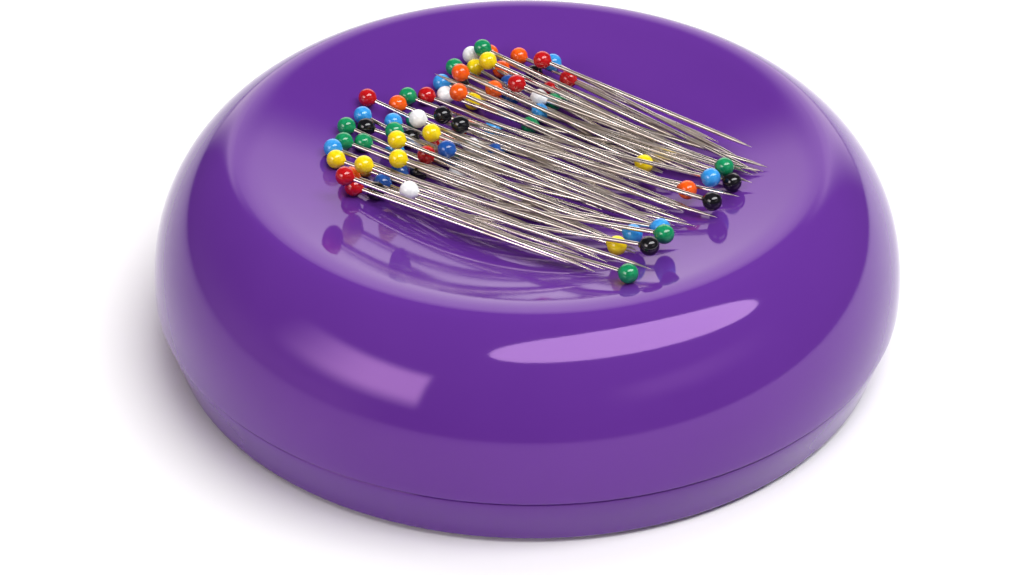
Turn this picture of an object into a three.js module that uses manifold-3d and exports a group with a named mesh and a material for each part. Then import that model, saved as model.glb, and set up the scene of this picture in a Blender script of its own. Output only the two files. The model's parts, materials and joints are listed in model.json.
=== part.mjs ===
// A round magnetic pin bowl with ball-head pins lying in its dish: a two-part moulded housing with a ring
// magnet under the dish. Millimetres, +Z up, -Y to the front. The origin is on the bowl's axis, in the plane
// that the bowl rests on.
import * as THREE from "three";
import { mergeVertices } from "three/addons/utils/BufferGeometryUtils.js";
import Module from "manifold-3d";

const wasm = await Module();
wasm.setup();

// Driving dimensions of the housing.
const OUTER_RADIUS = 54;
const CREST_RADIUS = 41.2;
const CREST_Z = 29.3;
const CREST_INNER_ROUND = 12;
const CREST_OUTER_ROUND = 3.9;
const CREST_OUTER_ANGLE = THREE.MathUtils.degToRad(72);
const CREST_STEPS = 3;
const SHOULDER_PULL = 2.5;
const SIDE_PULL = 14.3;
const SEAM_Z = 8.5;
const WALL = 2.2;
const DISH_SLOPE = THREE.MathUtils.degToRad(17);
const SEAM_GAP = 0.3;
const CLEARANCE = 0.3;
const ROUND_SEGMENTS = 40;
const SMALL_SEGMENTS = 12;
const MAGNET_SEGMENTS = 32;
const SPACER_SEGMENTS = 24;
const OUTER_STEPS = 10;
const DISH_STEPS = 8;

// Inside: magnet, its steel backing disc, a foam spacer and the screws.
const MAGNET_RADIUS = 22;
const MAGNET_BORE_RADIUS = 9;
const MAGNET_THICKNESS = 5;
const BACKING_THICKNESS = 1.5;
const POCKET_DEPTH = 7;
const POCKET_WALL = 1.8;
const DISH_UNDERSIDE_RADII = [37, 31];
const POCKET_ROOF_RADIUS = 12;
const SPACER_RADIUS = 15;
const POST_RADIUS = 16;
const POST_WALL = 2;
const POST_TOP_Z = 7;
const SCREW_COUNT = 3;
const SCREW_CIRCLE_RADIUS = 37;
const SCREW_RADIUS = 1.3;
const SCREW_HEAD_RADIUS = 2.6;
const SCREW_LENGTH = 13;
const SCREW_HEAD_HEIGHT = 1.5;
const SCREW_HEAD_BEVEL = 0.5;
const SCREW_TIP_LENGTH = 1.5;
const BOSS_RADIUS = 3.6;
const BOSS_BOTTOM_Z = 6.3;
const BOSS_SOCKET_WALL = 1;

// Base cover and the non-slip ring let into its underside.
const BASE_UNDERSIDE_Z = 0.6;
const BASE_FLOOR = 2.2;
const BASE_FOOT = [
  [50.9, 0.6],
  [51.9, 1.4],
  [52.7, 4.2],
];
const BASE_TOP_RADIUS = 53.6;
const SPIGOT_HEIGHT = 3.5;
const SPIGOT_WALL = 1.6;
const TRAY_BEVEL = 1.5;
const RING_INNER_RADIUS = 43;
const RING_OUTER_RADIUS = 49;
const RING_THICKNESS = 0.9;
const COUNTERBORE_TOP_Z = 3.2;

// Pins: a steel shank with a sharp point in a ball head.
const PIN_LENGTH = 38;
const SHANK_RADIUS = 0.3;
const POINT_LENGTH = 4;
const HEAD_RADIUS = 1.35;
const HEAD_BORE_DEPTH = 1.6;
const HEAD_BORE_CLEARANCE = 0.08;
const PIN_REACH = PIN_LENGTH - HEAD_RADIUS;
const HEAD_SEGMENTS = 8;
const HEAD_RINGS = 4;
const SHANK_SEGMENTS = 6;

// The heap's lower layer: crossed pairs of pins.
const HEAP_ANGLE = THREE.MathUtils.degToRad(-32);
const LOWER_PAIRS = 7;
const LOWER_PITCH = 5.4;
const LOWER_SWING = 3;
const LOWER_HEAD_START = -24.5;
const LOWER_HEAD_LIFT = 0.15;
const LOWER_POINT_LIFT = 0.8;
const LOWER_HEAD_SEGMENTS = 6;
const LOWER_HEAD_RINGS = 5;

// The upper pins lie side by side in lanes over the lower layer, each free to lift.
const UPPER_PITCH = 2.15;
const UPPER_FIRST = -21.6;
const UPPER_FAN = THREE.MathUtils.degToRad(-0.2);
const UPPER_OUTERMOST = -20.8;
const UPPER_HEAD_LIFT = 2.5;
const LIFT_PER_MM = 0.17;
const LIFT_STEPS_MM = 6;
const UPPER_POINT_LIFT = 1.3;
const REVERSED_POINT_LIFT = 3.6;
const REVERSED_HEAD_LIFT = 0.9;

const HEAD_COLOURS = {
  yellow: 0xf2d21b,
  orange: 0xf0641e,
  red: 0xb5202a,
  green: 0x1f8a5c,
  sky_blue: 0x3f97d8,
  blue: 0x2a5fb4,
  black: 0x16161c,
  white: 0xeef0f2,
};
// Each upper pin: its colour and where its head lies along its lane. A reversed pin has its head on the right.
const UPPER_PINS = [
  { colour: "red", head: -17 },
  { colour: "white", head: -8 },
  { colour: "yellow", head: -16.5 },
  { colour: "yellow", head: 22, reversed: true },
  { colour: "yellow", head: -13.5 },
  { colour: "sky_blue", head: 22.5, reversed: true },
  { colour: "yellow", head: -16.5 },
  { colour: "blue", head: -9.5 },
  { colour: "yellow", head: -13.5 },
  { colour: "white", head: -17.3 },
  { colour: "black", head: -11.5 },
  { colour: "black", head: 28.5, reversed: true },
  { colour: "orange", head: 23.5, reversed: true },
  { colour: "orange", head: -16.5 },
  { colour: "yellow", head: 14, reversed: true },
  { colour: "orange", head: -19.5 },
  { colour: "red", head: -11 },
  { colour: "yellow", head: -18 },
  { colour: "green", head: -20.8 },
  { colour: "red", head: -11.5 },
];

const material = (color, roughness, metalness = 0) =>
  new THREE.MeshStandardMaterial({ color, roughness, metalness });
const purple = material(0x5f2f96, 0.16);
const steel = material(0xc4c2be, 0.25, 1);
const ferrite = material(0x2b2a2c, 0.6);
const zinc = material(0xb9bcc0, 0.35, 1);
const foam = material(0x3a3a3d, 0.9);
const eva = material(0x202024, 0.85);

const group = new THREE.Group();

function addMesh(name, geometry, look, parent = group) {
  const mesh = new THREE.Mesh(geometry, look.clone());
  mesh.name = name;
  parent.add(mesh);
  return mesh;
}

// A solid of revolution about Z from [radius, z] points that start and end on the axis or close up.
function turned(points, segments) {
  const outline = points.map(([r, z]) => new THREE.Vector2(r, z));
  return new THREE.LatheGeometry(outline, segments).rotateX(Math.PI / 2);
}

// A ring or tube of rectangular section about Z.
function ringGeometry(inner, outer, low, high, segments) {
  return turned([[inner, low], [outer, low], [outer, high], [inner, high], [inner, low]], segments);
}

function toSolid(geometry) {
  const bare = geometry.clone();
  bare.deleteAttribute("normal");
  bare.deleteAttribute("uv");
  const merged = mergeVertices(bare, 1e-4);
  return new wasm.Manifold(
    new wasm.Mesh({
      numProp: 3,
      vertProperties: merged.attributes.position.array,
      triVerts: new Uint32Array(merged.index.array),
    }),
  );
}

function toGeometry(solid) {
  const mesh = solid.getMesh();
  const geometry = new THREE.BufferGeometry();
  geometry.setAttribute("position", new THREE.BufferAttribute(mesh.vertProperties, 3));
  geometry.setIndex(new THREE.BufferAttribute(mesh.triVerts, 1));
  geometry.computeVertexNormals();
  return geometry;
}

// A cylinder along Z between two heights, standing at (x, y).
function post(radius, low, high, x = 0, y = 0, segments = SMALL_SEGMENTS) {
  const geometry = new THREE.CylinderGeometry(radius, radius, high - low, segments);
  return geometry.rotateX(Math.PI / 2).translate(x, y, (low + high) / 2);
}

// The dish is part of a sphere that runs out into the crest over a large rounding.
const DISH_RADIUS = CREST_RADIUS - CREST_INNER_ROUND * Math.sin(DISH_SLOPE);
const DISH_EDGE_Z = CREST_Z - CREST_INNER_ROUND * (1 - Math.cos(DISH_SLOPE));
const DISH_SPHERE = DISH_RADIUS / Math.sin(DISH_SLOPE);
const DISH_FLOOR_Z = DISH_EDGE_Z - DISH_SPHERE * (1 - Math.cos(DISH_SLOPE));

// The height of the upper surface at a distance from the axis, as far out as the crest.
function dishZ(r) {
  if (r < DISH_RADIUS) {
    return DISH_FLOOR_Z + DISH_SPHERE - Math.sqrt(DISH_SPHERE ** 2 - r ** 2);
  }
  return CREST_Z - CREST_INNER_ROUND + Math.sqrt(CREST_INNER_ROUND ** 2 - (CREST_RADIUS - r) ** 2);
}

// The upper surface from the axis to the crest and a little beyond, as [radius, z] points.
function upperFace() {
  const points = [];
  for (let i = 0; i < DISH_STEPS; i++) {
    const r = (DISH_RADIUS * i) / DISH_STEPS;
    points.push([r, dishZ(r)]);
  }
  for (let i = 0; i <= CREST_STEPS; i++) {
    const r = DISH_RADIUS + ((CREST_RADIUS - DISH_RADIUS) * i) / CREST_STEPS;
    points.push([r, dishZ(r)]);
  }
  const turn = (Math.PI / 2 + CREST_OUTER_ANGLE) / 2;
  const drop = CREST_OUTER_ROUND * (1 - Math.sin(turn));
  points.push([CREST_RADIUS + CREST_OUTER_ROUND * Math.cos(turn), CREST_Z - drop]);
  return points;
}

// The outer face from the crest down to the seam, as [radius, z] points on one smooth curve.
function outerFace() {
  const start = new THREE.Vector2(Math.cos(CREST_OUTER_ANGLE), Math.sin(CREST_OUTER_ANGLE));
  start.multiplyScalar(CREST_OUTER_ROUND).add(new THREE.Vector2(CREST_RADIUS, CREST_Z - CREST_OUTER_ROUND));
  const slope = new THREE.Vector2(Math.sin(CREST_OUTER_ANGLE), -Math.cos(CREST_OUTER_ANGLE));
  const curve = new THREE.CubicBezierCurve(
    start,
    start.clone().addScaledVector(slope, SHOULDER_PULL),
    new THREE.Vector2(OUTER_RADIUS, SEAM_Z + SIDE_PULL),
    new THREE.Vector2(OUTER_RADIUS, SEAM_Z),
  );
  return curve.getPoints(OUTER_STEPS).map((p) => [p.x, p.y]);
}

// The same curve moved in by the wall thickness, from the seam up to below the crest.
function innerFace(outer) {
  const inner = [];
  for (let i = outer.length - 1; i > 1; i--) {
    const [r0, z0] = outer[Math.max(i - 1, 0)];
    const [r1, z1] = outer[Math.min(i + 1, outer.length - 1)];
    const length = Math.hypot(r1 - r0, z1 - z0);
    const normal = [(z1 - z0) / length, -(r1 - r0) / length];
    inner.push([outer[i][0] + normal[0] * WALL, outer[i][1] + normal[1] * WALL]);
  }
  inner[0][1] = SEAM_Z;
  return inner;
}

// Screw places on their circle.
const screwPlaces = Array.from({ length: SCREW_COUNT }, (_, i) => {
  const turn = Math.PI / 2 + (2 * Math.PI * i) / SCREW_COUNT;
  return [SCREW_CIRCLE_RADIUS * Math.cos(turn), SCREW_CIRCLE_RADIUS * Math.sin(turn)];
});

// The top moulding: dish, crest and outer wall in one, open below, with the magnet's pocket and three bosses.
function topShell() {
  const outer = outerFace();
  const pocketInner = MAGNET_RADIUS + CLEARANCE;
  const pocketOuter = pocketInner + POCKET_WALL;
  const pocketBottom = DISH_FLOOR_Z - WALL - POCKET_DEPTH;
  const under = (r) => [r, dishZ(r) - WALL];
  const profile = [
    ...upperFace(),
    ...outer,
    ...innerFace(outer),
    ...DISH_UNDERSIDE_RADII.map(under),
    under(pocketOuter),
    [pocketOuter, pocketBottom],
    [pocketInner, pocketBottom],
    under(pocketInner),
    under(POCKET_ROOF_RADIUS),
    under(0),
  ];
  let solid = toSolid(turned(profile.reverse(), ROUND_SEGMENTS));
  for (const [x, y] of screwPlaces) {
    const top = dishZ(SCREW_CIRCLE_RADIUS - BOSS_RADIUS) - WALL / 2;
    const hole = post(SCREW_RADIUS + CLEARANCE, BOSS_BOTTOM_Z - 1, BOSS_BOTTOM_Z + SCREW_LENGTH, x, y);
    solid = solid.add(toSolid(post(BOSS_RADIUS, BOSS_BOTTOM_Z, top, x, y)));
    solid = solid.subtract(toSolid(hole));
  }
  return toGeometry(solid);
}

// The base cover: a shallow tray whose spigot stands inside the top shell, with screw posts and a centre post.
function baseCover() {
  const floorTop = BASE_UNDERSIDE_Z + BASE_FLOOR;
  const rimZ = SEAM_Z - SEAM_GAP;
  const spigotOuter = OUTER_RADIUS - WALL - CLEARANCE;
  const spigotInner = spigotOuter - SPIGOT_WALL;
  const recessTop = RING_THICKNESS + CLEARANCE;
  const profile = [
    [0, BASE_UNDERSIDE_Z],
    [RING_INNER_RADIUS - CLEARANCE, BASE_UNDERSIDE_Z],
    [RING_INNER_RADIUS - CLEARANCE, recessTop],
    [RING_OUTER_RADIUS + CLEARANCE, recessTop],
    [RING_OUTER_RADIUS + CLEARANCE, BASE_UNDERSIDE_Z],
    ...BASE_FOOT,
    [BASE_TOP_RADIUS, rimZ],
    [spigotOuter, rimZ],
    [spigotOuter, rimZ + SPIGOT_HEIGHT],
    [spigotInner, rimZ + SPIGOT_HEIGHT],
    [spigotInner, floorTop + TRAY_BEVEL],
    [spigotInner - TRAY_BEVEL, floorTop],
    [POST_RADIUS, floorTop],
    [POST_RADIUS, POST_TOP_Z],
    [POST_RADIUS - POST_WALL, POST_TOP_Z],
    [POST_RADIUS - POST_WALL, floorTop],
    [0, floorTop],
  ];
  let solid = toSolid(turned(profile, ROUND_SEGMENTS));
  for (const [x, y] of screwPlaces) {
    const socket = post(BOSS_RADIUS + BOSS_SOCKET_WALL, BASE_UNDERSIDE_Z, BOSS_BOTTOM_Z - CLEARANCE, x, y);
    const clearHole = post(SCREW_RADIUS + CLEARANCE, 0, BOSS_BOTTOM_Z + 1, x, y);
    const counterbore = post(SCREW_HEAD_RADIUS + CLEARANCE, 0, COUNTERBORE_TOP_Z, x, y);
    solid = solid.add(toSolid(socket)).subtract(toSolid(clearHole)).subtract(toSolid(counterbore));
  }
  return toGeometry(solid);
}

function addHousing() {
  addMesh("top_shell", topShell(), purple);
  addMesh("base_cover", baseCover(), purple);
  const ringPoints = [RING_INNER_RADIUS, RING_OUTER_RADIUS, 0, RING_THICKNESS];
  addMesh("non_slip_ring", ringGeometry(...ringPoints, ROUND_SEGMENTS), eva);
  screwPlaces.forEach(([x, y], i) => {
    const headTop = COUNTERBORE_TOP_Z - CLEARANCE;
    const headLow = headTop - SCREW_HEAD_HEIGHT;
    const tip = headTop + SCREW_LENGTH;
    const geometry = turned(
      [
        [0, headLow],
        [SCREW_HEAD_RADIUS - SCREW_HEAD_BEVEL, headLow],
        [SCREW_HEAD_RADIUS, headLow + SCREW_HEAD_BEVEL],
        [SCREW_HEAD_RADIUS, headTop],
        [SCREW_RADIUS, headTop],
        [SCREW_RADIUS, tip - SCREW_TIP_LENGTH],
        [0, tip],
      ],
      SMALL_SEGMENTS,
    );
    addMesh(`screw_${i + 1}`, geometry, zinc).position.set(x, y, 0);
  });
}

function addMagnet() {
  const top = DISH_FLOOR_Z - WALL - CLEARANCE;
  const magnetLow = top - MAGNET_THICKNESS;
  const discTop = magnetLow - CLEARANCE;
  const discLow = discTop - BACKING_THICKNESS;
  const magnet = ringGeometry(MAGNET_BORE_RADIUS, MAGNET_RADIUS, magnetLow, top, MAGNET_SEGMENTS);
  addMesh("ring_magnet", magnet, ferrite);
  addMesh("steel_backing_disc", post(MAGNET_RADIUS, discLow, discTop, 0, 0, MAGNET_SEGMENTS), zinc);
  const spacerLow = POST_TOP_Z + CLEARANCE;
  const spacer = post(SPACER_RADIUS, spacerLow, discLow - CLEARANCE, 0, 0, SPACER_SEGMENTS);
  addMesh("foam_spacer", spacer, foam);
}

// One pin along +X with its ball head's centre at the origin.
function headGeometry() {
  const bore = SHANK_RADIUS + HEAD_BORE_CLEARANCE;
  const mouth = Math.asin(bore / HEAD_RADIUS);
  const profile = [
    [0, HEAD_RADIUS - HEAD_BORE_DEPTH],
    [bore, HEAD_RADIUS - HEAD_BORE_DEPTH],
  ];
  for (let i = 0; i < HEAD_RINGS; i++) {
    const turn = mouth + ((Math.PI - mouth) * i) / HEAD_RINGS;
    profile.push([HEAD_RADIUS * Math.sin(turn), HEAD_RADIUS * Math.cos(turn)]);
  }
  profile.push([0, -HEAD_RADIUS]);
  return turned(profile.reverse(), HEAD_SEGMENTS).rotateY(Math.PI / 2);
}

function shankGeometry(start) {
  const taper = PIN_REACH - POINT_LENGTH;
  const profile = [[0, start], [SHANK_RADIUS, start], [SHANK_RADIUS, taper], [0, PIN_REACH]];
  return turned(profile, SHANK_SEGMENTS).rotateY(Math.PI / 2);
}

// Turns an object made along +X so that it runs from the head's centre towards the point.
function aim(object, head, point) {
  const direction = new THREE.Vector3().subVectors(point, head).normalize();
  object.position.copy(head);
  object.quaternion.setFromUnitVectors(new THREE.Vector3(1, 0, 0), direction);
  object.updateMatrixWorld();
}

// A place in the dish given along and across the heap's own direction, raised above the dish surface.
function heapPoint(along, across, lift, angle) {
  const x = along * Math.cos(angle) - across * Math.sin(angle);
  const y = along * Math.sin(angle) + across * Math.cos(angle);
  return new THREE.Vector3(x, y, dishZ(Math.hypot(x, y)) + lift);
}

function upperPinEnds({ head, reversed }, lane) {
  const across = UPPER_FIRST + UPPER_PITCH * lane;
  const angle = HEAP_ANGLE + UPPER_FAN * across;
  if (reversed) {
    return [
      heapPoint(head, across, HEAD_RADIUS + REVERSED_HEAD_LIFT, angle),
      heapPoint(head - PIN_REACH, across, REVERSED_POINT_LIFT, angle),
    ];
  }
  const inward = Math.min(head - UPPER_OUTERMOST, LIFT_STEPS_MM);
  return [
    heapPoint(head, across, HEAD_RADIUS + UPPER_HEAD_LIFT + LIFT_PER_MM * inward, angle),
    heapPoint(head + PIN_REACH, across, UPPER_POINT_LIFT, angle),
  ];
}

function addUpperPins() {
  const start = HEAD_RADIUS - HEAD_BORE_DEPTH + HEAD_BORE_CLEARANCE;
  UPPER_PINS.forEach((row, lane) => {
    const number = String(lane + 1).padStart(2, "0");
    const pin = new THREE.Group();
    aim(pin, ...upperPinEnds(row, lane));
    addMesh(`pin_${number}_shank`, shankGeometry(start), steel, pin);
    addMesh(`pin_${number}_head`, headGeometry(), material(HEAD_COLOURS[row.colour], 0.12), pin);
    group.add(pin);
  });
}

// The lower layer lies as crossed pairs that touch one another, so it is one connected mat of pins.
function addLowerPins() {
  let mat = null;
  for (let i = 0; i < 2 * LOWER_PAIRS; i++) {
    const swing = i % 2 ? -LOWER_SWING : LOWER_SWING;
    const across = (Math.floor(i / 2) - (LOWER_PAIRS - 1) / 2) * LOWER_PITCH;
    const pin = new THREE.Group();
    const head = heapPoint(LOWER_HEAD_START, across - swing, HEAD_RADIUS + LOWER_HEAD_LIFT, HEAP_ANGLE);
    const point = heapPoint(LOWER_HEAD_START + PIN_REACH, across + swing, LOWER_POINT_LIFT, HEAP_ANGLE);
    aim(pin, head, point);
    const ball = new THREE.SphereGeometry(HEAD_RADIUS, LOWER_HEAD_SEGMENTS, LOWER_HEAD_RINGS);
    const shank = shankGeometry(0).applyMatrix4(pin.matrixWorld);
    const solid = toSolid(ball.applyMatrix4(pin.matrixWorld)).add(toSolid(shank));
    mat = mat ? mat.add(solid) : solid;
  }
  addMesh("lower_pins", toGeometry(mat), steel);
}

addHousing();
addMagnet();
addLowerPins();
addUpperPins();

export default group;
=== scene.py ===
"""A magnetic pin bowl: a glossy two-part housing turned about Z, and a heap of ball-head pins lying in its dish.

Lengths are in metres in the CAD frame: +Z up, -Y to the front, the origin on the axis where the bowl rests.
"""
import itertools
import json
import math

import bpy
import numpy as np
from mathutils import Matrix, Vector

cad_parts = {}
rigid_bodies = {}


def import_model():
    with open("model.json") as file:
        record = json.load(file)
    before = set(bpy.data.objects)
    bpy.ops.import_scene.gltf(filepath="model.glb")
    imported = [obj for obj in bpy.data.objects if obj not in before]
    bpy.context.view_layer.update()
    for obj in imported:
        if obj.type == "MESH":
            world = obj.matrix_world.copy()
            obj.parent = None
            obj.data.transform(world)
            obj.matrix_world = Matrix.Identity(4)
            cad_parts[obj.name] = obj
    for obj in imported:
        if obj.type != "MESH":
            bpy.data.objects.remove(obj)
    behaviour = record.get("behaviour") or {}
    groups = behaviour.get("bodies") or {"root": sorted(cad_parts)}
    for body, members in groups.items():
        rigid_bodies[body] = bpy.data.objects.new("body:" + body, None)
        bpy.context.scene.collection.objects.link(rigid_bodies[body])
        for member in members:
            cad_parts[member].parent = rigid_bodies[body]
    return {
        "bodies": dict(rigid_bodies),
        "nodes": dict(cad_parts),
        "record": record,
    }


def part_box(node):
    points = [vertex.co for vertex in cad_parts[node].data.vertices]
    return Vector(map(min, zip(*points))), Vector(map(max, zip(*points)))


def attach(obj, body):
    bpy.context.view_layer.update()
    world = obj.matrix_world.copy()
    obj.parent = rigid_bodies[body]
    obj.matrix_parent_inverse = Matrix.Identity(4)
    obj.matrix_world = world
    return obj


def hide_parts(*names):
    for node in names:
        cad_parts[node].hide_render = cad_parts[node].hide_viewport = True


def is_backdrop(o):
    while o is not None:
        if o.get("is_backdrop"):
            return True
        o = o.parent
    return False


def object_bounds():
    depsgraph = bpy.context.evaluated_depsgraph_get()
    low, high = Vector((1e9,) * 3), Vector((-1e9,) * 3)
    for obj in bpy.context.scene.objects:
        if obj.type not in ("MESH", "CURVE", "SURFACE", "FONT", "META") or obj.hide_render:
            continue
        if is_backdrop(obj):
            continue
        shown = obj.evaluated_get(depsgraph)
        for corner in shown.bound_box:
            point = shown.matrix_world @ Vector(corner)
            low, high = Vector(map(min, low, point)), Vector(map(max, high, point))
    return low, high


MM = 0.001

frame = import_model()
cad_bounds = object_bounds()

# ---------------------------------------------------------------- sizes, in millimetres, of the housing's sections
OUTER_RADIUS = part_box("top_shell")[1].x / MM
CREST_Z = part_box("top_shell")[1].z / MM
SEAM_Z = 8.5
SEAM_GAP = 0.3
WALL = 2.2
CREST_RADIUS = 41.2
CREST_INNER_ROUND = 12.0
CREST_OUTER_ROUND = 3.9
CREST_OUTER_ANGLE = 72
SHOULDER_PULL = 2.5
SIDE_PULL = 14.3
DISH_SLOPE = 17
DISH_RADIUS = CREST_RADIUS - CREST_INNER_ROUND * math.sin(math.radians(DISH_SLOPE))
DISH_EDGE_Z = CREST_Z - CREST_INNER_ROUND * (1 - math.cos(math.radians(DISH_SLOPE)))
DISH_SPHERE = DISH_RADIUS / math.sin(math.radians(DISH_SLOPE))
DISH_FLOOR_Z = DISH_EDGE_Z - DISH_SPHERE * (1 - math.cos(math.radians(DISH_SLOPE)))
EDGE_ROUND = 0.25
INNER_SHOULDER = (43.0, 26.3)
INNER_SHOULDER_PULL = (46.0, 25.6)
DISH_UNDERSIDE_RADII = (37, 31)
POCKET_ROOF_RADII = (15, 8, 0)
POCKET_INNER = 22.3
POCKET_OUTER = 24.1
POCKET_DEPTH = 7.0
BASE_UNDERSIDE_Z = 0.6
BASE_MIDDLE_RADIUS = 20
BASE_FLOOR_Z = 2.8
BASE_FLOOR_BEVEL = 1.5
BASE_FOOT_RADIUS = 51.7
BASE_FOOT_INSET = 0.6
BASE_FOOT_ROUND = 0.8
BASE_FOOT_END = -14
BASE_SIDE_PULLS = ((52.4, 3.6), (53.3, 5.8))
BASE_TOP_RADIUS = 53.6
SPIGOT_RADIUS = 51.5
SPIGOT_WALL = 1.6
SPIGOT_Z = 11.7
RECESS_Z = 1.2
RECESS_MARGIN = 0.3
GRIP_RING_INNER = 43.0
GRIP_RING_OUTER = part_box("non_slip_ring")[1].x / MM
GRIP_RING_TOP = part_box("non_slip_ring")[1].z / MM
GRIP_RING_EDGE = 0.2
POST_RADIUS = 16.0
POST_WALL = 2.0
POST_Z = 7.0
TURN_STEPS = 128
DISH_STEPS = 48
SMOOTH_ANGLE = math.radians(32)

# ---------------------------------------------------------------- sizes of the screws in the base
SCREW_HEAD_ROUND = 0.9
SCREW_HEAD_HEIGHT = 1.5
SCREW_CORE = 1.3
SCREW_STRAIGHT = 13.0
SCREW_TIP = 0.4
SCREW_LENGTH = 14.5
CROSS_SLOT = (2.8, 0.6, 1.8)
COUNTERBORE_GAP = 0.3
COUNTERBORE_DEPTH = 2.6

# ---------------------------------------------------------------- sizes of the pins
PIN_LENGTH = 38.0
HEAD_RADIUS = 1.35
SHANK_RADIUS = 0.3
POINT_LENGTH = 4.0
PIN_REACH = PIN_LENGTH - HEAD_RADIUS
POINT_TAPER = ((0.35, 0.82), (0.35, 0.55), (0.3, 0.1))
NECK_LENGTH = 0.22
NECK_SHARE = 0.93
HEAP_TURN = -32.0
POINTS_RADIUS = 37.4

# The lower heap, seen from above and turned so that the pins run left to right. Each row is a lane across the
# heap, front first; each letter is a head at its place along the lane. Pins of the left block point to the right,
# and those of the right block to the left.
LANE_STEP = 2.0
FIRST_LANE = -20.0
PLACE_STEP = 2.0
LEFT_START = -28.0
RIGHT_START = 14.0
HEAP_LANES = (
    "......r...... .......g.",
    ".....o.k..... .........",
    "...y...b..... .........",
    "..s..y....... .......k.",
    "..g....b..... .........",
    "...g..y.k.... .......g.",
    ".g...s..r.... ......s..",
    "..k..g....w.. .........",
    ".s...k..g.... .........",
    "...s...r..... .........",
    "r...g....w... .........",
    "..o...k...b.. .........",
    "..g....o...b. .........",
    "...r..y..s... ......s..",
    "....w....r... .......k.",
    "...s..y....g. ......g..",
    "....k..o...s. .........",
    "...g....b..w. .........",
    "....y..b...g. .........",
    "...w.o....r.. .........",
    "....o...k..r. .........",
    "......o..s... .........",
)
LANE_TURNS = (2, -3, 4, -1, 5, -5, 3, 6, -2, 4, -6, 1)
LANE_FAN = 0.45
# How far a pin may be nudged to find room: along and across its lane, round, and up at its head and at its point,
# with what a millimetre or a degree of each costs.
NUDGES = (
    (0, -0.7, 0.7, -1.4, 1.4),
    (0, -0.6, 0.6),
    (0, -2, 2, -4, 4, -6, 6, -8, 8),
    (0, 0.7, 1.4, 2.0),
    (0, 0.5, 1.0),
)
NUDGE_COSTS = (1, 1, 0.25, 0.8, 0.5)
LIFT_GAP = 0.12
LAY_GAP = 0.05
BALL_PRESS = 0.1
WIRE_PRESS = 0.45
CROSSING_SHARE = 0.25
HEAD_LETTERS = {
    "y": "yellow",
    "o": "orange",
    "r": "red",
    "g": "green",
    "s": "sky_blue",
    "b": "blue",
    "k": "black",
    "w": "white",
}


# ---------------------------------------------------------------- small helpers
def deselect_all():
    bpy.ops.object.select_all(action="DESELECT")


def srgb(code):
    """An sRGB hex value as a linear colour with alpha."""
    parts = [int(code[i : i + 2], 16) / 255 for i in (0, 2, 4)]
    return (*[c / 12.92 if c <= 0.04045 else ((c + 0.055) / 1.055) ** 2.4 for c in parts], 1.0)


def add_node(tree, kind, settings=None, inputs=None):
    """Adds a node, sets its properties, and sets or links its inputs."""
    made = tree.nodes.new(kind)
    for key, value in (settings or {}).items():
        setattr(made, key, value)
    for key, value in (inputs or {}).items():
        if isinstance(value, bpy.types.NodeSocket):
            tree.links.new(value, made.inputs[key])
        else:
            made.inputs[key].default_value = value
    return made


def new_material(name, levels):
    """A Principled material, with what is the same all over it set on the shader's own sockets."""
    material = bpy.data.materials.new(name)
    material.use_nodes = True
    shader = material.node_tree.nodes["Principled BSDF"]
    for key, value in levels.items():
        shader.inputs[key].default_value = value
    return material


def dress(piece, material):
    """Gives a piece one material and no other."""
    piece.data.materials.clear()
    piece.data.materials.append(material)


# ---------------------------------------------------------------- materials
def uneven(tree, size, detail):
    """Inputs of a noise pattern that is fixed to the piece, by the size of its patches in millimetres."""
    where = tree.nodes.new("ShaderNodeTexCoord").outputs["Object"]
    return {"Vector": where, "Scale": 1 / (size * MM), "Detail": detail}


def tint_patches(material, size, detail, colours, limits):
    """Base colour that drifts from dark to light in soft patches of a size in millimetres."""
    tree = material.node_tree
    patch = add_node(tree, "ShaderNodeTexNoise", None, uneven(tree, size, detail))
    tint = add_node(tree, "ShaderNodeValToRGB", None, {"Fac": patch.outputs["Fac"]})
    for element, colour, place in zip(tint.color_ramp.elements, colours, limits):
        element.color = srgb(colour)
        element.position = place
    tree.links.new(tint.outputs["Color"], tree.nodes["Principled BSDF"].inputs["Base Color"])


def gloss_patches(material, size, detail, first, last):
    """Roughness that drifts between two levels in patches of a size in millimetres."""
    tree = material.node_tree
    haze = add_node(tree, "ShaderNodeTexNoise", None, uneven(tree, size, detail))
    levels = {"Value": haze.outputs["Fac"], "From Min": 0.3, "From Max": 0.7, "To Min": first, "To Max": last}
    gloss = add_node(tree, "ShaderNodeMapRange", None, levels)
    tree.links.new(gloss.outputs["Result"], tree.nodes["Principled BSDF"].inputs["Roughness"])


def relief(material, size, detail, strength, depth):
    """Unevenness of a width and a depth in millimetres."""
    tree = material.node_tree
    wave = add_node(tree, "ShaderNodeTexNoise", None, uneven(tree, size, detail))
    rise = {"Height": wave.outputs["Fac"], "Strength": strength, "Distance": depth * MM}
    bump = add_node(tree, "ShaderNodeBump", None, rise)
    tree.links.new(bump.outputs["Normal"], tree.nodes["Principled BSDF"].inputs["Normal"])


def purple_abs():
    """ABS moulded in polished steel: a deep even purple, mirror gloss with the faintest waviness and haze."""
    material = new_material("abs_moulded_purple", {"IOR": 1.5, "Specular Tint": srgb("f4c0ff")})
    tint_patches(material, 30, 3.0, ("572a84", "5b2d88"), (0.3, 0.7))
    gloss_patches(material, 9, 5.0, 0.05, 0.08)
    relief(material, 14, 1.0, 0.1, 0.02)
    return material


def nickel_wire():
    """Hard-drawn steel wire plated with bright nickel: warm silver with a little brown tarnish in patches."""
    material = new_material("steel_wire_nickel_plated", {"Metallic": 1.0})
    tint_patches(material, 5, 4.0, ("cdc3b5", "f4efe6"), (0.35, 0.6))
    gloss_patches(material, 5, 4.0, 0.34, 0.22)
    return material


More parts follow.
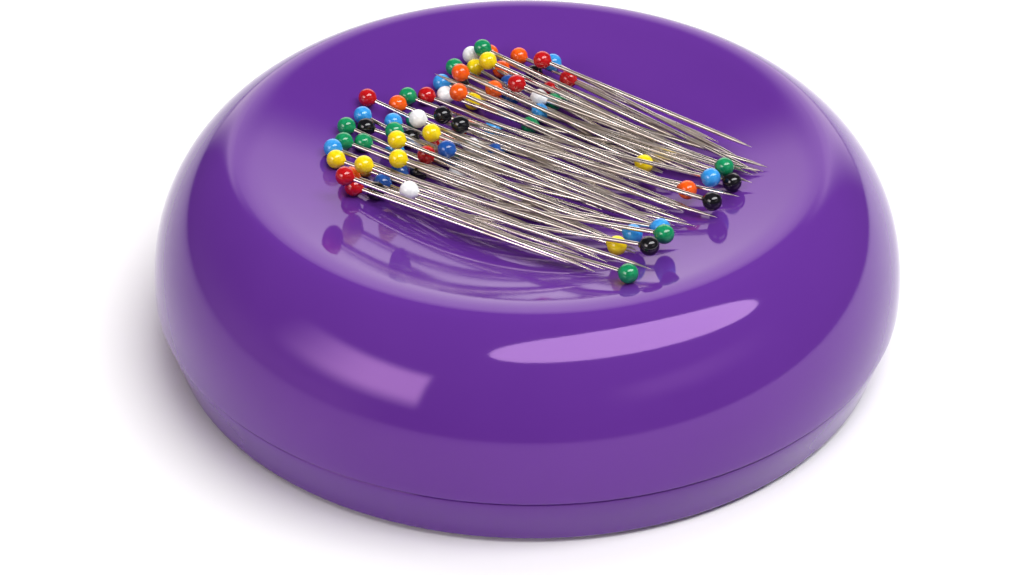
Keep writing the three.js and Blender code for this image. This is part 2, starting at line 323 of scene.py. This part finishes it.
def ball_plastic(name, dark, light):
    """Polystyrene balls moulded onto the wire: strong colour, glossy, with a slight mottle in the pigment."""
    material = new_material("polystyrene_ball_" + name, {"Roughness": 0.1, "IOR": 1.59})
    tint_patches(material, 0.7, 2.0, (dark, light), (0.3, 0.7))
    return material


def grainy(name, dark, light, grain, roughness, metallic=0.0, depth=0.05):
    """A surface with a grain of a size in millimetres, broken up in tone and in height."""
    material = new_material(name, {"Roughness": roughness, "Metallic": metallic})
    tint_patches(material, grain, 3.0, (dark, light), (0.35, 0.65))
    relief(material, grain, 3.0, 0.5, depth)
    return material


PURPLE = purple_abs()
WIRE = nickel_wire()
BALLS = {
    "yellow": ball_plastic("yellow", "e3c400", "f6dc1e"),
    "orange": ball_plastic("orange", "e04c0c", "f4661a"),
    "red": ball_plastic("red", "a60d12", "c2181c"),
    "green": ball_plastic("green", "0d7a4c", "1b9660"),
    "sky_blue": ball_plastic("sky_blue", "2385d2", "45a2e6"),
    "blue": ball_plastic("blue", "173f86", "2459ab"),
    "black": ball_plastic("black", "0d0d10", "1a1a1e"),
    "white": ball_plastic("white", "dcdee0", "f3f4f5"),
}
# EVA foam sheet, die-cut: near black and dull, with fine closed cells.
EVA = grainy("eva_foam_sheet_die_cut", "1b1b1f", "2b2b30", 0.4, 0.85)
# Polyurethane foam: grey and fully matt, with open cells that are deeper than those of the EVA.
FOAM = grainy("polyurethane_foam_disc", "303033", "47474b", 0.6, 0.95, depth=0.2)
# Ferrite, fired and ground: charcoal with a dull stony sheen.
FERRITE = grainy("ferrite_fired_and_ground", "232224", "343336", 0.3, 0.55)
# Steel plated with zinc: pale blue-grey metal with soft spangles.
ZINC = grainy("steel_zinc_plated", "a9adb3", "c3c7cc", 1.5, 0.35, 1.0, 0.005)


# ---------------------------------------------------------------- turned pieces of the housing
def dish_z(radius):
    """Height of the upper surface at a distance from the axis, as far out as the crest, in millimetres."""
    if radius < DISH_RADIUS:
        return DISH_FLOOR_Z + DISH_SPHERE - math.sqrt(DISH_SPHERE**2 - radius**2)
    return CREST_Z - CREST_INNER_ROUND + math.sqrt(CREST_INNER_ROUND**2 - (CREST_RADIUS - radius) ** 2)


def arc(centre, radius, start, end, steps):
    """Points on a round stretch of an outline, from one angle to another in degrees."""
    turns = [math.radians(start + (end - start) * i / steps) for i in range(steps + 1)]
    return [(centre[0] + radius * math.cos(t), centre[1] + radius * math.sin(t)) for t in turns]


def bezier(a, b, c, d, steps):
    """Points on a smooth stretch of an outline, a to d, pulled towards b and c."""
    points = []
    for i in range(steps + 1):
        t = i / steps
        u = 1 - t
        weights = (u**3, 3 * u * u * t, 3 * u * t * t, t**3)
        points.append(tuple(sum(w * p[k] for w, p in zip(weights, (a, b, c, d))) for k in (0, 1)))
    return points


def turned_piece(name, outline, steps=TURN_STEPS):
    """Draws an outline of (radius, z) points in millimetres by extruding one vertex, then spins it about Z."""
    deselect_all()
    points = [Vector((r * MM, 0, z * MM)) for r, z in outline]
    bpy.ops.mesh.primitive_plane_add(size=MM, location=points[0])
    piece = bpy.context.object
    piece.name = piece.data.name = name
    bpy.ops.object.transform_apply(location=True, rotation=True, scale=True)
    bpy.ops.object.mode_set(mode="EDIT")
    bpy.ops.mesh.select_mode(type="VERT")
    bpy.ops.mesh.select_all(action="SELECT")
    bpy.ops.mesh.merge(type="CENTER")
    for a, b in zip(points, points[1:]):
        bpy.ops.mesh.extrude_vertices_move(TRANSFORM_OT_translate={"value": b - a})
    bpy.ops.mesh.select_all(action="SELECT")
    bpy.ops.mesh.spin(steps=steps, angle=2 * math.pi, center=(0, 0, 0), axis=(0, 0, 1))
    bpy.ops.mesh.select_all(action="SELECT")
    bpy.ops.mesh.remove_doubles(threshold=0.002 * MM)
    bpy.ops.mesh.normals_make_consistent(inside=False)
    bpy.ops.object.mode_set(mode="OBJECT")
    bpy.ops.object.shade_smooth_by_angle(angle=SMOOTH_ANGLE)
    return piece


def housing_top():
    """Dish, crest and outer wall in one shell, rounded at its lower edge, with the magnet's pocket underneath."""
    radii = [CREST_RADIUS * i / DISH_STEPS for i in range(DISH_STEPS)]
    dish = [(r, dish_z(r)) for r in radii]
    crest_centre = (CREST_RADIUS, CREST_Z - CREST_OUTER_ROUND)
    crest = arc(crest_centre, CREST_OUTER_ROUND, 90, CREST_OUTER_ANGLE, 6)
    slope = math.radians(90 - CREST_OUTER_ANGLE)
    shoulder = crest[-1]
    outer = bezier(
        shoulder,
        (shoulder[0] + SHOULDER_PULL * math.cos(slope), shoulder[1] - SHOULDER_PULL * math.sin(slope)),
        (OUTER_RADIUS, SEAM_Z + SIDE_PULL),
        (OUTER_RADIUS, SEAM_Z + EDGE_ROUND),
        36,
    )
    lip = arc((OUTER_RADIUS - EDGE_ROUND, SEAM_Z + EDGE_ROUND), EDGE_ROUND, 0, -90, 5)
    inner = bezier(
        (OUTER_RADIUS - WALL, SEAM_Z),
        (OUTER_RADIUS - WALL, SEAM_Z + SIDE_PULL - WALL),
        INNER_SHOULDER_PULL,
        INNER_SHOULDER,
        14,
    )
    under = [(r, dish_z(r) - WALL) for r in (*DISH_UNDERSIDE_RADII, POCKET_OUTER)]
    pocket_z = DISH_FLOOR_Z - WALL - POCKET_DEPTH
    pocket = [(POCKET_OUTER, pocket_z), (POCKET_INNER, pocket_z)]
    roof = [(r, dish_z(r) - WALL) for r in (POCKET_INNER, *POCKET_ROOF_RADII)]
    return turned_piece("housing_top", dish + crest + outer[1:] + lip[1:] + inner + under + pocket + roof)


def housing_base():
    """The base cover: a tray with a rounded foot, a recess for the grip ring and a spigot inside the top shell."""
    ring_low, ring_high = (GRIP_RING_INNER - RECESS_MARGIN, GRIP_RING_OUTER + RECESS_MARGIN)
    rim_z = SEAM_Z - SEAM_GAP
    underside = [
        (0, BASE_UNDERSIDE_Z),
        (BASE_MIDDLE_RADIUS, BASE_UNDERSIDE_Z),
        (ring_low, BASE_UNDERSIDE_Z),
        (ring_low, RECESS_Z),
        (ring_high, RECESS_Z),
        (ring_high, BASE_UNDERSIDE_Z),
    ]
    foot_centre = (BASE_FOOT_RADIUS - BASE_FOOT_INSET, BASE_UNDERSIDE_Z + BASE_FOOT_ROUND)
    foot = arc(foot_centre, BASE_FOOT_ROUND, -90, BASE_FOOT_END, 6)
    side = bezier(foot[-1], *BASE_SIDE_PULLS, (BASE_TOP_RADIUS, rim_z - EDGE_ROUND), 12)
    lip = arc((BASE_TOP_RADIUS - EDGE_ROUND, rim_z - EDGE_ROUND), EDGE_ROUND, 0, 90, 4)
    inner_radius = SPIGOT_RADIUS - SPIGOT_WALL
    inside = [
        (SPIGOT_RADIUS, rim_z),
        (SPIGOT_RADIUS, SPIGOT_Z),
        (inner_radius, SPIGOT_Z),
        (inner_radius, BASE_FLOOR_Z + BASE_FLOOR_BEVEL),
        (inner_radius - BASE_FLOOR_BEVEL, BASE_FLOOR_Z),
        (POST_RADIUS, BASE_FLOOR_Z),
        (POST_RADIUS, POST_Z),
        (POST_RADIUS - POST_WALL, POST_Z),
        (POST_RADIUS - POST_WALL, BASE_FLOOR_Z),
        (0, BASE_FLOOR_Z),
    ]
    return turned_piece("housing_base", underside + foot + side[1:] + lip[1:] + inside)


def grip_ring():
    """The non-slip ring let into the underside, with softened edges; it is what the bowl stands on."""
    edge, inner, outer = (GRIP_RING_EDGE, GRIP_RING_INNER, GRIP_RING_OUTER)
    outline = (
        arc((inner + edge, edge), edge, 180, 270, 3)
        + arc((outer - edge, edge), edge, 270, 360, 3)
        + [(outer, GRIP_RING_TOP), (inner, GRIP_RING_TOP), (inner, edge)]
    )
    return turned_piece("grip_ring", outline, 96)


def cut_away(piece, cutter):
    """Takes the cutter's shape out of a piece, and removes the cutter."""
    deselect_all()
    piece.select_set(True)
    bpy.context.view_layer.objects.active = piece
    cut = piece.modifiers.new("cut", "BOOLEAN")
    cut.operation = "DIFFERENCE"
    cut.object = cutter
    cut.solver = "EXACT"
    bpy.ops.object.modifier_apply(modifier=cut.name)
    bpy.data.objects.remove(cutter)


def counterbore(base, screw):
    """Cuts the sunk hole for one screw through the base, from the underside."""
    low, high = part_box(screw)
    middle = (low + high) / 2
    deselect_all()
    bpy.ops.mesh.primitive_cylinder_add(
        vertices=32,
        radius=high.x - middle.x + COUNTERBORE_GAP * MM,
        depth=2 * COUNTERBORE_DEPTH * MM,
        location=(middle.x, middle.y, BASE_UNDERSIDE_Z * MM),
    )
    cut_away(base, bpy.context.object)


def screw_piece(number):
    """A pan-head self-tapping screw, head down, with a cross recess in the head."""
    node = f"screw_{number}"
    low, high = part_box(node)
    middle = (low + high) / 2
    radius = (high.x - middle.x) / MM
    flat = radius - SCREW_HEAD_ROUND
    outline = (
        [(0, 0), (flat, 0)]
        + arc((flat, SCREW_HEAD_ROUND), SCREW_HEAD_ROUND, -90, 0, 5)[1:]
        + [(radius, SCREW_HEAD_HEIGHT), (SCREW_CORE, SCREW_HEAD_HEIGHT), (SCREW_CORE, SCREW_STRAIGHT)]
        + [(SCREW_TIP, SCREW_LENGTH), (0, SCREW_LENGTH)]
    )
    piece = turned_piece(f"base_screw_{number}", outline, 32)
    for turn in (0, math.pi / 2):
        deselect_all()
        bpy.ops.mesh.primitive_cube_add(size=1, rotation=(0, 0, turn))
        blade = bpy.context.object
        blade.scale = [side * MM for side in CROSS_SLOT]
        bpy.ops.object.transform_apply(scale=True, rotation=True)
        cut_away(piece, blade)
    piece.data.transform(Matrix.Translation((middle.x, middle.y, low.z)))
    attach(piece, "bowl")
    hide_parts(node)
    dress(piece, ZINC)


def housing():
    """The fixed pieces of the bowl, all on its one body, and the finishes of the CAD's own pieces inside it."""
    top = housing_top()
    base = housing_base()
    for number in (1, 2, 3):
        counterbore(base, f"screw_{number}")
        screw_piece(number)
    ring = grip_ring()
    parts = ((top, "top_shell", PURPLE), (base, "base_cover", PURPLE), (ring, "non_slip_ring", EVA))
    for piece, node, material in parts:
        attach(piece, "bowl")
        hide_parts(node)
        dress(piece, material)
    for node, material in (("ring_magnet", FERRITE), ("steel_backing_disc", ZINC), ("foam_spacer", FOAM)):
        dress(frame["nodes"][node], material)


# ---------------------------------------------------------------- pins
def wire_pattern():
    """One shank along +X from inside the ball: a round wire whose end is drawn out to a long sharp point."""
    deselect_all()
    straight = PIN_REACH - POINT_LENGTH
    bpy.ops.mesh.primitive_cylinder_add(
        vertices=10,
        radius=SHANK_RADIUS * MM,
        depth=straight * MM,
        location=(straight / 2 * MM, 0, 0),
        rotation=(0, math.pi / 2, 0),
    )
    wire = bpy.context.object
    bpy.ops.object.transform_apply(location=True, rotation=True)
    bpy.ops.object.mode_set(mode="EDIT")
    bpy.ops.mesh.select_mode(type="FACE")
    bpy.ops.mesh.select_all(action="DESELECT")
    bpy.ops.object.mode_set(mode="OBJECT")
    for face in wire.data.polygons:
        face.select = face.normal.x > 0.9
    bpy.ops.object.mode_set(mode="EDIT")
    for share, scale in POINT_TAPER:
        bpy.ops.mesh.extrude_region_move(TRANSFORM_OT_translate={"value": (share * POINT_LENGTH * MM, 0, 0)})
        bpy.ops.transform.resize(value=(1, scale, scale), center_override=(0, 0, 0))
    bpy.ops.object.mode_set(mode="OBJECT")
    bpy.ops.object.shade_smooth_by_angle(angle=math.radians(50))
    return wire


def ball_pattern():
    """One ball with its centre at the origin, drawn out a little where the wire enters it."""
    deselect_all()
    radius = HEAD_RADIUS * MM
    bpy.ops.mesh.primitive_uv_sphere_add(segments=18, ring_count=12, radius=radius, rotation=(0, math.pi / 2, 0))
    ball = bpy.context.object
    bpy.ops.object.transform_apply(rotation=True)
    bpy.ops.object.mode_set(mode="EDIT")
    bpy.ops.mesh.select_mode(type="VERT")
    bpy.ops.mesh.select_all(action="DESELECT")
    bpy.ops.object.mode_set(mode="OBJECT")
    for vertex in ball.data.vertices:
        vertex.select = vertex.co.x > NECK_SHARE * radius
    bpy.ops.object.mode_set(mode="EDIT")
    bpy.ops.transform.translate(value=(NECK_LENGTH * MM, 0, 0))
    bpy.ops.object.mode_set(mode="OBJECT")
    bpy.ops.object.shade_smooth()
    return ball


def laid(pattern, name, head, point):
    """A copy of a pin pattern with its own mesh, lying from its head's centre towards its point."""
    piece = pattern.copy()
    piece.data = pattern.data.copy()
    piece.name = piece.data.name = name
    bpy.context.scene.collection.objects.link(piece)
    turn = Vector((1, 0, 0)).rotation_difference(point - head).to_matrix().to_4x4()
    piece.data.transform(Matrix.Translation(head) @ turn)
    return piece


def cad_pin_ends(number):
    """Head centre and point of a CAD pin, read from its two nodes."""
    low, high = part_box(f"pin_{number:02d}_head")
    head = (low + high) / 2
    shank = frame["nodes"][f"pin_{number:02d}_shank"].data.vertices
    return head, max((v.co.copy() for v in shank), key=lambda co: (co - head).length)


def upper_pins(wire, ball):
    """The pins that lie uppermost, each on its own body, so that each can be lifted out."""
    slots = {row["node"]: row["material_slot"] for row in frame["record"]["subparts"]}
    ends = []
    for number in range(1, 1 + sum(name.startswith("pin_") for name in frame["bodies"])):
        name = f"pin_{number:02d}"
        head, point = cad_pin_ends(number)
        ends.append((head, point))
        slot = slots[name + "_head"]
        colour = BALLS[slot.removeprefix("head_")]
        looks = (("wire", wire, "shank", "pin_steel", WIRE), ("ball", ball, "head", slot, colour))
        for part, pattern, node, slot_name, material in looks:
            piece = laid(pattern, f"{name}_{part}", head, point)
            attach(piece, name)
            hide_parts(f"{name}_{node}")
            dress(piece, material)
    return ends


def to_segments(points, heads, tips):
    """Distances from each point to each straight pin, as a table."""
    along = tips - heads
    share = ((points[:, None] - heads) * along).sum(2) / (along * along).sum(1)
    nearest = heads + np.clip(share, 0, 1)[..., None] * along
    return np.linalg.norm(points[:, None] - nearest, axis=2)


def fits(head, tip, lifted, heap):
    """True if a pin lies clear of the pins that lift, and no more than touches those already in the heap."""
    along = head + (tip - head) * np.linspace(0, 1, 40)[:, None]
    ball_to_wire = HEAD_RADIUS + SHANK_RADIUS + LIFT_GAP
    clear = (
        to_segments(along, *lifted).min() > 2 * SHANK_RADIUS + LIFT_GAP
        and to_segments(head[None], *lifted).min() > ball_to_wire
        and to_segments(lifted[0], head[None], tip[None]).min() > ball_to_wire
        and np.linalg.norm(lifted[0] - head, axis=1).min() > 2 * HEAD_RADIUS + LIFT_GAP
    )
    if not clear or not len(heap[0]):
        return clear
    return (
        np.linalg.norm(heap[0] - head, axis=1).min() > 2 * HEAD_RADIUS - BALL_PRESS
        and to_segments(head[None], *heap).min() > HEAD_RADIUS - WIRE_PRESS
        and to_segments(heap[0], head[None], tip[None]).min() > HEAD_RADIUS - WIRE_PRESS
        and (to_segments(along, *heap) < WIRE_PRESS).mean(0).max() < CROSSING_SHARE
    )


def planned_pins():
    """Each pin of the lower heap: colour, place along and across the heap, and its turn in degrees."""
    turns = itertools.cycle(LANE_TURNS)
    for row, lane in enumerate(HEAP_LANES):
        across = FIRST_LANE + LANE_STEP * row
        fan = -LANE_FAN * max(across, 0)
        left, right = lane.split()
        for start, letters, reverse in ((LEFT_START, left, 0), (RIGHT_START, right, 180)):
            for column, letter in enumerate(letters):
                if letter != ".":
                    yield letter, start + PLACE_STEP * column, across, next(turns) + fan + reverse


def lower_heap(ends):
    """Lays the lower pins one by one on the dish, each nudged as little as it needs to find room."""
    lifted = tuple(np.array([e[k][:] for e in ends]) / MM for k in (0, 1))
    heap = (np.zeros((0, 3)), np.zeros((0, 3)))
    steps = itertools.product(*NUDGES)
    nudges = sorted(steps, key=lambda step: sum(abs(s) * c for s, c in zip(step, NUDGE_COSTS)))
    turn = math.radians(HEAP_TURN)
    laid_pins = []
    for letter, along, across, angle in planned_pins():
        for d_along, d_across, d_angle, head_lift, point_lift in nudges:
            a, b = along + d_along, across + d_across
            x, y = (a * math.cos(turn) - b * math.sin(turn), a * math.sin(turn) + b * math.cos(turn))
            aim = turn + math.radians(angle + d_angle)
            px, py = (x + PIN_REACH * math.cos(aim), y + PIN_REACH * math.sin(aim))
            if math.hypot(px, py) > POINTS_RADIUS:
                continue
            head = np.array([x, y, dish_z(math.hypot(x, y)) + HEAD_RADIUS + LAY_GAP + head_lift])
            tip = np.array([px, py, dish_z(math.hypot(px, py)) + SHANK_RADIUS + LAY_GAP + point_lift])
            if fits(head, tip, lifted, heap):
                heap = (np.vstack([heap[0], head]), np.vstack([heap[1], tip]))
                laid_pins.append((HEAD_LETTERS[letter], Vector(head * MM), Vector(tip * MM)))
                break
    return laid_pins


def joined(pieces, name):
    """Makes several pieces one, and names it."""
    deselect_all()
    for piece in pieces:
        piece.select_set(True)
    bpy.context.view_layer.objects.active = pieces[0]
    bpy.ops.object.join()
    pieces[0].name = pieces[0].data.name = name
    return pieces[0]


def heap_pieces(wire, ball, laid_pins):
    """The lower pins as one piece of wires and one piece of balls for each colour."""
    wires = joined([laid(wire, f"w{i}", head, tip) for i, (_, head, tip) in enumerate(laid_pins)], "heap_wires")
    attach(wires, "bowl")
    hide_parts("lower_pins")
    dress(wires, WIRE)
    for colour in sorted({pin[0] for pin in laid_pins}):
        ends = [(head, tip) for ball_colour, head, tip in laid_pins if ball_colour == colour]
        copies = [laid(ball, f"b{i}", head, tip) for i, (head, tip) in enumerate(ends)]
        balls = joined(copies, f"heap_balls_{colour}")
        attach(balls, "bowl")
        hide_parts("lower_pins")
        dress(balls, BALLS[colour])


def pins():
    """The pins that lift, then the lower heap laid in the room they leave."""
    wire, ball = wire_pattern(), ball_pattern()
    ends = upper_pins(wire, ball)
    heap_pieces(wire, ball, lower_heap(ends))
    bpy.data.objects.remove(wire)
    bpy.data.objects.remove(ball)


# ---------------------------------------------------------------- stage, light and camera
# Patches of light round the room: radiance, headings from the back towards the right in degrees with the softness
# of their two edges, and levels above the horizon in degrees with the softness of theirs as a sine.
ROOM_LEVEL = 0.05
ROOM_TINT = "fff4f6"
WORLD_PATCHES = (
    (1.7, (-28, 34), (6, 8), (-20, 34), (0.1, 0.08)),
    (0.45, (-135, -70), (12, 25), (-20, 12), (0.1, 0.2)),
    (6.4, (-149, -114), (1.5, 20), (17, 38), (0.1, 0.05)),
    (0.8, (112, 150), (20, 10), (22, 33), (0.09, 0.06)),
)


# The key panel and the fill. The key's height is in metres over the crest; its lean and size are shares of it.
KEY_HEIGHT = 0.6
KEY_LEAN = (0.52, -0.33, 1)
KEY_SIZE = (1.5, 0.52)
KEY_TURN = 25
KEY_RADIANCE = 8.4
FILL_PLACE = (0.22, 0.6, 1.0)
FILL_SIZE = (1.1, 1.1)
FILL_RADIANCE = 2.7
FLOOR_SIDE = 6

# The camera: its place in metres, how far it is turned from straight down, its small swing and roll, and its lens.
CAMERA_PLACE = (0, -0.27673, 0.20064)
CAMERA_TILT = 90 - 35.37
CAMERA_SWING = 0.41
CAMERA_ROLL = 0.63
CAMERA_LENS = 81.1


def floor():
    """White painted board: plain, pale and matt."""
    deselect_all()
    bpy.ops.mesh.primitive_plane_add(size=FLOOR_SIDE)
    plane = bpy.context.object
    plane.name = "floor"
    dress(plane, new_material("painted_board_matt_white", {"Base Color": srgb("f2f2f2"), "Roughness": 0.9}))
    plane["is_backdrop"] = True


def band(tree, value, low, high, soft):
    """1 where a value lies between two limits, falling to 0 over a soft edge at each end."""
    rise = add_node(
        tree,
        "ShaderNodeMapRange",
        {"interpolation_type": "SMOOTHSTEP"},
        {"Value": value, "From Min": low - soft[0], "From Max": low + soft[0]},
    )
    fall = add_node(
        tree,
        "ShaderNodeMapRange",
        {"interpolation_type": "SMOOTHSTEP"},
        {"Value": value, "From Min": high - soft[1], "From Max": high + soft[1], "To Min": 1.0, "To Max": 0.0},
    )
    edges = {0: rise.outputs["Result"], 1: fall.outputs["Result"]}
    return add_node(tree, "ShaderNodeMath", {"operation": "MULTIPLY"}, edges).outputs["Value"]


def world():
    """A dim room: a broad window behind, a glow low down at both sides and a soft box high on the left."""
    world_data = bpy.data.worlds.new("studio")
    bpy.context.scene.world = world_data
    world_data.use_nodes = True
    tree = world_data.node_tree
    background = tree.nodes["Background"]
    where = tree.nodes.new("ShaderNodeTexCoord").outputs["Generated"]
    split = add_node(tree, "ShaderNodeSeparateXYZ", None, {"Vector": where}).outputs
    heading = add_node(tree, "ShaderNodeMath", {"operation": "ARCTAN2"}, {0: split["X"], 1: split["Y"]})
    total = ROOM_LEVEL
    for radiance, headings, heading_soft, levels, level_soft in WORLD_PATCHES:
        edges = [math.radians(edge) for edge in headings]
        across = band(tree, heading.outputs["Value"], *edges, [math.radians(soft) for soft in heading_soft])
        upright = band(tree, split["Z"], *[math.sin(math.radians(edge)) for edge in levels], level_soft)
        patch = add_node(tree, "ShaderNodeMath", {"operation": "MULTIPLY"}, {0: across, 1: upright})
        light = add_node(
            tree,
            "ShaderNodeMath",
            {"operation": "MULTIPLY_ADD"},
            {0: patch.outputs["Value"], 1: radiance, 2: total},
        )
        total = light.outputs["Value"]
    tree.links.new(total, background.inputs["Strength"])
    background.inputs["Color"].default_value = srgb(ROOM_TINT)


def panel(name, shape, place, aim, size, radiance, turn=0.0, glossy=True):
    """A soft light facing a point; radiance is what its face gives, in the render's own units."""
    data = bpy.data.lights.new(name, "AREA")
    data.shape = shape
    data.size, data.size_y = size
    face = size[0] * size[1] * (math.pi / 4 if shape == "ELLIPSE" else 1)
    data.energy = radiance * math.pi * face
    light = bpy.data.objects.new(name, data)
    bpy.context.scene.collection.objects.link(light)
    away = (Vector(place) - Vector(aim)).to_track_quat("Z", "Y").to_matrix().to_4x4()
    light.matrix_world = Matrix.Translation(place) @ away @ Matrix.Rotation(math.radians(turn), 4, "Z")
    light.visible_glossy = glossy
    light.visible_camera = False


def lights():
    """A long soft box high at the front right, and a broad fill behind that only lights and casts no highlight."""
    rim = Vector((0, 0, CREST_Z * MM))
    key = rim + Vector(KEY_LEAN) * KEY_HEIGHT
    key_size = [side * KEY_HEIGHT for side in KEY_SIZE]
    panel("key_panel", "ELLIPSE", key, key - Vector((0, 0, 1)), key_size, KEY_RADIANCE, KEY_TURN)
    panel("overhead_fill", "RECTANGLE", FILL_PLACE, (0, 0, 0), FILL_SIZE, FILL_RADIANCE, glossy=False)


def camera():
    """A short telephoto from the front, looking down at the dish."""
    data = bpy.data.cameras.new("camera")
    data.sensor_width = 36
    data.lens = CAMERA_LENS
    view = bpy.data.objects.new("camera", data)
    bpy.context.scene.collection.objects.link(view)
    turns = zip((CAMERA_TILT, CAMERA_SWING, CAMERA_ROLL), "XYZ")
    tilt, swing, roll = [Matrix.Rotation(math.radians(turn), 4, axis) for turn, axis in turns]
    view.matrix_world = Matrix.Translation(CAMERA_PLACE) @ tilt @ swing @ roll
    bpy.context.scene.camera = view


housing()
pins()
floor()
world()
lights()
camera()
bpy.context.scene.view_settings.view_transform = "Standard"

boxes = {"cad": cad_bounds, "visual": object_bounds()}
{key: [list(corner) for corner in box] for key, box in boxes.items()}
